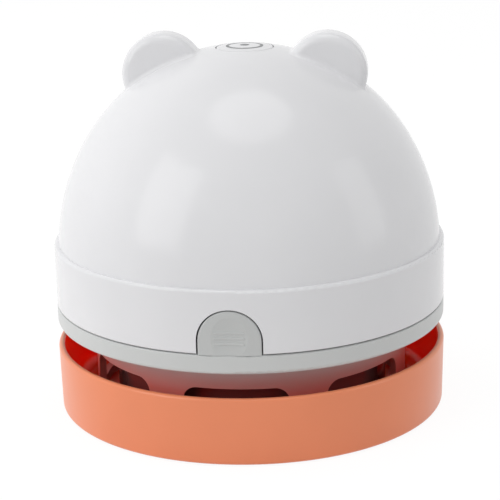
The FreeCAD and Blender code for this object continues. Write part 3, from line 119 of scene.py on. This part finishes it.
def makeFloor():
    mesh = bpy.data.meshes.new("floor")
    h = studio["floorSize"] / 2
    mesh.from_pydata([(-h, -h, 0), (h, -h, 0), (h, h, 0), (-h, h, 0)], [], [(0, 1, 2, 3)])
    floor = bpy.data.objects.new("floor", mesh)
    scene.collection.objects.link(floor)
    material = bpy.data.materials.new("floorPaper")
    material.use_nodes = True
    tree = material.node_tree
    shader = tree.nodes["Principled BSDF"]
    shader.inputs["Base Color"].default_value = (*[studio["floorWhite"]] * 3, 1)
    shader.inputs["Roughness"].default_value = 0.9
    glow = tree.nodes.new("ShaderNodeEmission")
    glow.inputs["Strength"].default_value = studio["floorGlow"]
    share = tree.nodes.new("ShaderNodeMath")
    share.operation = "MULTIPLY"
    share.inputs[1].default_value = studio["floorGlowShare"]
    mix = tree.nodes.new("ShaderNodeMixShader")
    tree.links.new(shownRays(tree), share.inputs[0])
    tree.links.new(share.outputs[0], mix.inputs[0])
    tree.links.new(shader.outputs[0], mix.inputs[1])
    tree.links.new(glow.outputs[0], mix.inputs[2])
    tree.links.new(mix.outputs[0], tree.nodes["Material Output"].inputs["Surface"])
    mesh.materials.append(material)


def makeWorld():
    world = bpy.data.worlds.new("studio")
    world.use_nodes = True
    tree = world.node_tree
    plain = tree.nodes["Background"]
    plain.inputs["Color"].default_value = (1, 1, 1, 1)
    plain.inputs["Strength"].default_value = studio["worldStrength"]
    white = tree.nodes.new("ShaderNodeBackground")
    white.inputs["Color"].default_value = (1, 1, 1, 1)
    white.inputs["Strength"].default_value = 1.0
    mix = tree.nodes.new("ShaderNodeMixShader")
    tree.links.new(shownRays(tree), mix.inputs[0])
    tree.links.new(plain.outputs[0], mix.inputs[1])
    tree.links.new(white.outputs[0], mix.inputs[2])
    tree.links.new(mix.outputs[0], tree.nodes["World Output"].inputs["Surface"])
    scene.world = world


def makeLamps():
    aim = Vector(studio["lampAim"])
    for name, (azimuth, elevation, distance, width, height, radiance) in studio["lamps"].items():
        data = bpy.data.lights.new(name, "AREA")
        data.shape = "ELLIPSE" if name == "top" else "RECTANGLE"
        data.size, data.size_y = width, height
        area = width * height * (math.pi / 4 if name == "top" else 1)
        data.energy = radiance * math.pi * area
        lamp = bpy.data.objects.new(name, data)
        scene.collection.objects.link(lamp)
        back = spot(azimuth, elevation)
        turn = back.to_track_quat("Z", "Y").to_matrix().to_4x4()
        lamp.matrix_world = Matrix.Translation(aim + back * distance) @ turn
        lamp.visible_glossy = name not in studio["unreflected"]


makeCamera()
makeFloor()
makeWorld()
makeLamps()
scene.view_settings.view_transform = "Standard"
print("studio ready")


# finishes
def srgb(red, green, blue):
    straight = []
    for amount in (red, green, blue):
        share = amount / 255
        straight.append(share / 12.92 if share <= 0.04045 else ((share + 0.055) / 1.055) ** 2.4)
    return (*straight, 1)


def newFinish(name, colour, roughness, metallic=0.0, coat=0.0):
    material = bpy.data.materials.new(name)
    material.use_nodes = True
    shader = material.node_tree.nodes["Principled BSDF"]
    shader.inputs["Base Color"].default_value = colour
    shader.inputs["Roughness"].default_value = roughness
    shader.inputs["Metallic"].default_value = metallic
    shader.inputs["Coat Weight"].default_value = coat
    shader.inputs["Coat Roughness"].default_value = 0.12
    return material, material.node_tree, shader


def objectNoise(tree, scale, detail=3.0, stretch=(1, 1, 1)):
    coords = tree.nodes.new("ShaderNodeTexCoord")
    mapping = tree.nodes.new("ShaderNodeMapping")
    mapping.inputs["Scale"].default_value = stretch
    noise = tree.nodes.new("ShaderNodeTexNoise")
    noise.inputs["Scale"].default_value = scale
    noise.inputs["Detail"].default_value = detail
    tree.links.new(coords.outputs["Object"], mapping.inputs["Vector"])
    tree.links.new(mapping.outputs["Vector"], noise.inputs["Vector"])
    return noise.outputs["Fac"]


def varyColour(tree, shader, noise, colour, spread):
    ramp = tree.nodes.new("ShaderNodeValToRGB")
    low, high = ramp.color_ramp.elements
    low.position, high.position = 0.3, 0.7
    low.color = (*[c * (1 - spread) for c in colour[:3]], 1)
    high.color = (*[min(c * (1 + spread), 1) for c in colour[:3]], 1)
    tree.links.new(noise, ramp.inputs["Fac"])
    tree.links.new(ramp.outputs["Color"], shader.inputs["Base Color"])


def varyRoughness(tree, shader, noise, low, high):
    span = tree.nodes.new("ShaderNodeMapRange")
    span.inputs["To Min"].default_value = low
    span.inputs["To Max"].default_value = high
    tree.links.new(noise, span.inputs["Value"])
    tree.links.new(span.outputs["Result"], shader.inputs["Roughness"])


def addBump(tree, shader, noise, height, strength=0.5):
    bump = tree.nodes.new("ShaderNodeBump")
    bump.inputs["Distance"].default_value = height
    bump.inputs["Strength"].default_value = strength
    tree.links.new(noise, bump.inputs["Height"])
    tree.links.new(bump.outputs["Normal"], shader.inputs["Normal"])


mouldSkin = {
    # noise scale and detail
    "mottling": (60, 4),     # where the melt flowed
    "gloss": (90, 5),
    "grain": (5200, 2),      # spark grain of the mould
    "glossier": 0.04,
    "duller": 0.05,
    "grainStrength": 0.35,
}


def mouldedPlastic(name, colour, rough, grain, spread=0.015, coat=0.0):
    material, tree, shader = newFinish(name, colour, rough, coat=coat)
    varyColour(tree, shader, objectNoise(tree, *mouldSkin["mottling"]), colour, spread)
    gloss = objectNoise(tree, *mouldSkin["gloss"])
    varyRoughness(tree, shader, gloss, rough - mouldSkin["glossier"], rough + mouldSkin["duller"])
    addBump(tree, shader, objectNoise(tree, *mouldSkin["grain"]), grain, mouldSkin["grainStrength"])
    return material


neckPaintedBounce = {
    "paintedBounce": srgb(236, 142, 132),     # painted light: the red light the dish throws on the neck that stands in it
    "fadeFrom": 14.0,                # heights between which the painted bounce light fades
    "fadeTo": 22.6,
}


def collarWithPaintedBounce(colour):
    material = mouldedPlastic("greyCollar", colour, 0.34, 0.00002)
    tree = material.node_tree
    base = tree.nodes["Principled BSDF"].inputs["Base Color"]
    plain = base.links[0].from_socket
    coords = tree.nodes.new("ShaderNodeTexCoord")
    parts = tree.nodes.new("ShaderNodeSeparateXYZ")
    share = tree.nodes.new("ShaderNodeMapRange")
    share.inputs["From Min"].default_value = neckPaintedBounce["fadeFrom"] * mm
    share.inputs["From Max"].default_value = neckPaintedBounce["fadeTo"] * mm
    # the neck below fadeFrom gets the painted bounce light, fading out up to fadeTo
    mix = tree.nodes.new("ShaderNodeMixRGB")
    mix.inputs["Color1"].default_value = neckPaintedBounce["paintedBounce"]
    tree.links.new(coords.outputs["Object"], parts.inputs["Vector"])
    tree.links.new(parts.outputs["Z"], share.inputs["Value"])
    tree.links.new(share.outputs["Result"], mix.inputs["Fac"])
    tree.links.new(plain, mix.inputs["Color2"])
    tree.links.new(mix.outputs["Color"], base)
    return material


metalSkin = {"scale": 900, "glossier": 0.08, "duller": 0.12, "depth": 0.00002, "strength": 0.3}


def metal(name, colour, rough, stretch=(1, 1, 1)):
    material, tree, shader = newFinish(name, colour, rough, metallic=1.0)
    marks = objectNoise(tree, metalSkin["scale"], 3, stretch)
    varyRoughness(tree, shader, marks, rough - metalSkin["glossier"], rough + metalSkin["duller"])
    addBump(tree, shader, marks, metalSkin["depth"], metalSkin["strength"])
    return material


clothSkin = {"fibres": 6, "stretch": (1, 1, 0.4), "spread": 0.12, "strength": 0.8, "sheen": 0.25}


def cloth(name, colour, scale, height):
    material, tree, shader = newFinish(name, colour, 0.9)
    fibres = objectNoise(tree, scale, clothSkin["fibres"], clothSkin["stretch"])
    varyColour(tree, shader, fibres, colour, clothSkin["spread"])
    addBump(tree, shader, fibres, height, clothSkin["strength"])
    shader.inputs["Sheen Weight"].default_value = clothSkin["sheen"]
    return material


finishes = {
    "white_shell": mouldedPlastic("whiteShell", srgb(233, 233, 235), 0.16, 0.000005, 0.01),
    # painted shade: the tab is the collar's grey made darker for its shaded dimpled face
    "tab": mouldedPlastic("tabGreyPaintedShade", srgb(197, 199, 198), 0.34, 0.00002),
    "white_button": mouldedPlastic("whiteButton", srgb(230, 230, 232), 0.24, 0.000006, 0.01),
    "grey_collar": collarWithPaintedBounce(srgb(207, 209, 208)),
    "orange": mouldedPlastic("orangeDish", srgb(243, 143, 99), 0.3, 0.000012, 0.02),
    "smoke": mouldedPlastic("smokeCup", srgb(108, 77, 75), 0.22, 0.000008, 0.05, coat=0.3),
    "felt": cloth("feltPad", srgb(60, 60, 62), 2600, 0.0002),
    "bristle": mouldedPlastic("bristle", srgb(40, 40, 42), 0.5, 0.00001, 0.2),
    "filter_cloth": cloth("filterCloth", srgb(232, 232, 228), 1800, 0.00012),
    "black_plastic": mouldedPlastic("blackPlastic", srgb(38, 38, 40), 0.5, 0.00003, 0.05),
    "grey_inner": mouldedPlastic("greyInner", srgb(206, 206, 206), 0.5, 0.00002),
    "rubber": mouldedPlastic("sealRubber", srgb(34, 34, 35), 0.7, 0.00003, 0.1),
    "steel": metal("platedSteel", (0.62, 0.62, 0.63, 1), 0.28),
    "motor_steel": metal("zincSteel", (0.52, 0.53, 0.54, 1), 0.38, (1, 1, 0.05)),
    "brass": metal("plainBrass", (0.78, 0.57, 0.27, 1), 0.3),
    "magnet": mouldedPlastic("ferrite", srgb(58, 58, 60), 0.75, 0.00005, 0.12),
    "cell_wrap": mouldedPlastic("cellSleeve", srgb(44, 110, 170), 0.3, 0.00001, 0.03, coat=0.2),
    "board_green": mouldedPlastic("solderMask", srgb(24, 92, 52), 0.3, 0.00001, 0.06, coat=0.2),
}


shellGloss = {"white_shell": 0.34, "white_button": 0.34}     # how strongly each reflects
for slot, level in shellGloss.items():
    shader = finishes[slot].node_tree.nodes["Principled BSDF"]
    shader.inputs["Specular IOR Level"].default_value = level


def smooth(piece, angle=28):
    piece.data.shade_smooth()
    piece.data.set_sharp_from_angle(angle=math.radians(angle))


def dressNodes():
    finishOf = {part["node"]: part["material_slot"] for part in frame["record"]["subparts"]}
    finishOf["release_tab"] = "tab"      # the collar's grey darkened by painted shade for the tab's dimpled face
    for name, node in nodes.items():
        node.data.materials.clear()
        node.data.materials.append(finishes[finishOf[name]])
        smooth(node)


dressNodes()
print("finishes on")


# pieces made here
def newPiece(name, shell, body, slot, finish=None):
    vertices, faces = shell
    mesh = bpy.data.meshes.new(name)
    mesh.from_pydata([Vector(v) * mm for v in vertices], [], faces)
    mesh.materials.append(finish or finishes[slot])
    piece = bpy.data.objects.new(name, mesh)
    scene.collection.objects.link(piece)
    turner = bmesh.new()
    turner.from_mesh(mesh)
    bmesh.ops.recalc_face_normals(turner, faces=turner.faces)
    turner.to_mesh(mesh)
    turner.free()
    smooth(piece, 40)
    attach(piece, body)
    return piece


def loft(rings, closed=False):
    count = len(rings[0])
    faces = []
    for step in range(len(rings) if closed else len(rings) - 1):
        low, high = step * count, (step + 1) % len(rings) * count
        for k in range(count):
            following = (k + 1) % count
            faces.append((low + k, low + following, high + following, high + k))
    vertices = [point for ring in rings for point in ring]
    if not closed:
        faces += [tuple(range(count)), tuple(range(len(vertices) - count, len(vertices)))]
    return vertices, faces


def joined(shells):
    vertices, faces = [], []
    for points, sides in shells:
        start = len(vertices)
        vertices += points
        faces += [tuple(start + k for k in side) for side in sides]
    return vertices, faces


def spun(profile, centre=(0, 0), steps=64, shake=None):
    rings = []
    for k in range(steps):
        angle = 2 * math.pi * k / steps
        ring = []
        for radius, z in profile:
            out = radius - (shake() if shake else 0)
            ring.append((centre[0] + out * math.cos(angle), centre[1] + out * math.sin(angle), z))
        rings.append(ring)
    return loft(rings, closed=True)


gripBars = {
    "count": 3,
    "length": 7.2,
    "width": 0.62,
    "pitch": 1.35,
    "rise": 0.16,
    "sink": 0.08,
    "dimpleRadius": 5.2,     # the tab's dimple, which the bars follow
    "dimpleDepth": 0.55,
    "dimpleHeight": 31.4,
    "steps": 28,
    "turnSteps": 12,
    "endShare": 0.999,       # keeps the last ring just short of the bar's tip
    "endFlat": 0.002,        # squared size of that ring, as a share
}


def makeGripBars():
    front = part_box("release_tab")[0].y / mm
    depth = gripBars["dimpleDepth"]
    ball = (gripBars["dimpleRadius"] ** 2 + depth ** 2) / (2 * depth)
    half, blunt = gripBars["length"] / 2, gripBars["width"] / 2
    shells = []
    for bar in range(gripBars["count"]):
        middle = (bar - (gripBars["count"] - 1) / 2) * gripBars["pitch"]
        rings = []
        for step in range(gripBars["steps"] + 1):
            x = -half * math.cos(math.pi * step / gripBars["steps"]) * gripBars["endShare"]
            past = max(0, abs(x) - (half - blunt)) / blunt
            taper = math.sqrt(max(1 - past ** 2, gripBars["endFlat"]))
            ring = []
            for k in range(gripBars["turnSteps"]):
                angle = 2 * math.pi * k / gripBars["turnSteps"]
                z = middle + blunt * taper * math.cos(angle)
                hollow = depth - ball + math.sqrt(ball ** 2 - x ** 2 - z ** 2)
                level = gripBars["rise"] if math.sin(angle) > 0 else gripBars["sink"]
                y = front + hollow - level * taper * math.sin(angle)
                ring.append((x, y, gripBars["dimpleHeight"] + z))
            rings.append(ring)
        shells.append(loft(rings))
    newPiece("gripBars", joined(shells), "release_tab", "grey_collar", finishes["tab"])


crownMark = {
    "ring": (3.9, 4.6),     # inner and outer radius
    "dot": (0.02, 1.15),
    "rise": 0.03,
    "sink": 0.05,
    "crownRadius": 46.9,
    "turnSteps": 96,
    "tone": srgb(112, 114, 116),
}


def makeCrownMark():
    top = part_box("power_button")[1].z / mm
    crown = crownMark["crownRadius"]
    shells = []
    for inner, outer in (crownMark["ring"], crownMark["dot"]):
        up, down = crownMark["rise"], -crownMark["sink"]
        profile = []
        for radius, height in ((inner, up), (outer, up), (outer, down), (inner, down)):
            profile.append((radius, top - crown + math.sqrt(crown ** 2 - radius ** 2) + height))
        shells.append(spun(profile, steps=crownMark["turnSteps"]))
    ink = mouldedPlastic("crownInk", crownMark["tone"], 0.4, 0.000004, 0.05)
    newPiece("crownMark", joined(shells), "power_button", "white_button", ink)


bristles = {
    "tufts": 24,
    "tuftRadius": 0.8,
    "hairs": 20,
    "rootShare": 0.75,       # how far out roots and tips spread in the tuft
    "tipShare": 0.85,
    "splay": 0.1,            # how far a tip may lean out past that
    "uneven": 0.15,
    "thick": 0.075,
    "thinnest": 0.8,
    "thickest": 1.1,
    "taper": ((0, 1), (0.5, 1), (0.92, 0.9), (1, 0.45)),     # share of length, share of thickness
    "sides": 6,
    "seed": 11,
}


def roundRing(centre, radius, count):
    turns = [2 * math.pi * k / count for k in range(count)]
    return [tuple(centre + Vector((math.cos(a), math.sin(a), 0)) * radius) for a in turns]


def makeBristles():
    chance = random.Random(bristles["seed"])
    low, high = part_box("brush_tufts")
    circle = high.x / mm - bristles["tuftRadius"]
    shells = []
    for tuft in range(bristles["tufts"]):
        angle = 2 * math.pi * tuft / bristles["tufts"]
        root = Vector((circle * math.cos(angle), circle * math.sin(angle), high.z / mm))
        for hair in range(bristles["hairs"]):
            turn, out = chance.uniform(0, 2 * math.pi), math.sqrt(chance.random())
            aside = Vector((math.cos(turn), math.sin(turn), 0)) * out
            start = root + aside * bristles["tuftRadius"] * bristles["rootShare"]
            lean = bristles["tuftRadius"] * bristles["tipShare"] + bristles["splay"] * chance.random()
            end = root + aside * lean
            end.z = low.z / mm + chance.uniform(0.0, bristles["uneven"])
            thick = bristles["thick"] * chance.uniform(bristles["thinnest"], bristles["thickest"])
            rings = []
            for share, size in bristles["taper"]:
                rings.append(roundRing(start.lerp(end, share), thick * size, bristles["sides"]))
            shells.append(loft(rings))
    piece = newPiece("bristles", joined(shells), "base_unit", "bristle")
    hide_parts("brush_tufts")


def filleted(corners, steps=7):
    outline = []
    for k, (x, z, radius) in enumerate(corners):
        point = Vector((x, z))
        if not radius:
            outline.append((x, z))
            continue
        back = (Vector(corners[k - 1][:2]) - point).normalized()
        ahead = (Vector(corners[(k + 1) % len(corners)][:2]) - point).normalized()
        half = math.acos(max(-1, min(1, back.dot(ahead)))) / 2
        centre = point + (back + ahead).normalized() * radius / math.sin(half)
        first = point + back * radius / math.tan(half) - centre
        last = point + ahead * radius / math.tan(half) - centre
        sweep = first.angle_signed(last)
        for step in range(steps):
            turn = -sweep * step / (steps - 1)
            outline.append((centre.x + first.x * math.cos(turn) - first.y * math.sin(turn),
                            centre.y + first.x * math.sin(turn) + first.y * math.cos(turn)))
    return outline


feltPads = {"radius": 3.2, "edge": 0.22, "fuzz": 0.03, "clearance": 0.001, "core": 0.05, "seed": 5}


def makeFeltPads():
    chance = random.Random(feltPads["seed"])
    low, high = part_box("foot_pads")
    circle = (high.x / mm - feltPads["radius"]) * math.sqrt(2)
    bottom, top = low.z / mm + feltPads["clearance"], high.z / mm
    core, radius, edge = feltPads["core"], feltPads["radius"], feltPads["edge"]
    profile = filleted([(core, top, 0), (radius, top, edge), (radius, bottom, edge), (core, bottom, 0)])
    shells = []
    for quarter in range(4):
        turn = math.pi / 4 + math.pi / 2 * quarter
        centre = (circle * math.cos(turn), circle * math.sin(turn))
        shells.append(spun(profile, centre, shake=lambda: chance.random() * feltPads["fuzz"]))
    piece = newPiece("feltPads", joined(shells), "base_unit", "felt")
    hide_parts("foot_pads")


dish = {
    "corners": [
        # radius, height, rounding: the pan's underside, foot, rim, inside, rib and pan
        (12.05, 4.0, 0), (30.6, 4.0, 0.5), (30.6, 0.2, 0.4), (48.8, 0.2, 1.0),
        (49.15, 16.8, 0.78), (47.55, 16.8, 0.78), (47.15, 2.6, 3.0),
        (40.75, 2.6, 0.2), (40.75, 3.8, 0.3), (39.75, 3.8, 0.3), (39.75, 2.6, 0),
        (32.4, 2.6, 0.3), (32.4, 5.8, 0.4), (12.05, 5.8, 0),
    ],
    # the inside is the orange plastic deepened into red by painted bounce light from wall to wall
    "inside": srgb(255, 84, 46),
    "insideReach": (32.0, 47.75),    # radii between which the inside with the painted bounce red lies
    "insideAbove": 2.5,
    "throughWall": 1.0,              # share of light that reaches the inside through the wall
    "throughReach": 9.0,             # how far light travels in the plastic
    "throughTint": (1.0, 0.12, 0.05),
    "turnSteps": 192,
}


def makeDish():
    shell = spun(filleted(dish["corners"]), steps=dish["turnSteps"])
    piece = newPiece("orangeDish", shell, "base_unit", "orange")
    paintedBounceLining = mouldedPlastic("dishInsidePaintedBounce", dish["inside"], 0.3, 0.000012, 0.02)
    shader = paintedBounceLining.node_tree.nodes["Principled BSDF"]
    shader.inputs["Subsurface Weight"].default_value = dish["throughWall"]
    shader.inputs["Subsurface Radius"].default_value = dish["throughTint"]
    shader.inputs["Subsurface Scale"].default_value = dish["throughReach"] * mm
    piece.data.materials.append(paintedBounceLining)
    # faces inside the dish take the painted bounce red
    near, far = dish["insideReach"]
    for face in piece.data.polygons:
        middle = face.center / mm
        if near < middle.xy.length < far and middle.z > dish["insideAbove"]:
            face.material_index = 1
    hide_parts("base_dish")


filterCloth = {
    "pleats": 11,
    "sheet": 0.5,
    "columns": 14,           # steps across each pleat
    "rows": 24,
    "waver": 0.12,           # how far a crest wanders, and how quickly
    "waverPitch": 0.5,
    "edgeShare": 0.998,
    "seed": 3,
}


def makeFilterCloth():
    chance = random.Random(filterCloth["seed"])
    low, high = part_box("filter_media")
    radius, bottom, top = high.x / mm, low.z / mm, high.z / mm
    pitch = 2 * radius / filterCloth["pleats"]
    rise = top - bottom - filterCloth["sheet"] - 2 * filterCloth["waver"]
    phases = [chance.uniform(0, 2 * math.pi) for pleat in range(filterCloth["pleats"] + 1)]
    rings = []
    count = filterCloth["pleats"] * filterCloth["columns"]
    for column in range(count + 1):
        x = radius * (2 * column / count - 1) * filterCloth["edgeShare"]
        reach = math.sqrt(radius ** 2 - x ** 2)
        phase = phases[int((x + radius) / pitch)]
        crest = 0.5 - 0.5 * math.cos(2 * math.pi * (x + radius) / pitch)
        lower = []
        for row in range(filterCloth["rows"] + 1):
            y = reach * (2 * row / filterCloth["rows"] - 1)
            waver = filterCloth["waver"] * (1 + math.sin(y * filterCloth["waverPitch"] + phase) * crest)
            lower.append((x, y, bottom + rise * crest + waver))
        upper = [(x, y, z + filterCloth["sheet"]) for x, y, z in reversed(lower)]
        rings.append(lower + upper)
    piece = newPiece("filterCloth", loft(rings), "base_unit", "filter_cloth")
    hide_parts("filter_media")


sealBead = {"width": 2.2, "edge": 0.4, "turnSteps": 128}


def makeSealBead():
    low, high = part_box("filter_seal")
    outer, bottom, top = high.x / mm, low.z / mm, high.z / mm
    inner = outer - sealBead["width"]
    edge = sealBead["edge"]
    section = [(inner, bottom, edge), (outer, bottom, edge), (outer, top, edge), (inner, top, edge)]
    piece = newPiece("sealBead", spun(filleted(section), steps=sealBead["turnSteps"]), "motor_unit", "rubber")
    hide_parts("filter_seal")


makeGripBars()
makeCrownMark()
makeBristles()
makeFeltPads()
makeDish()
makeFilterCloth()
makeSealBead()
print("pieces made")
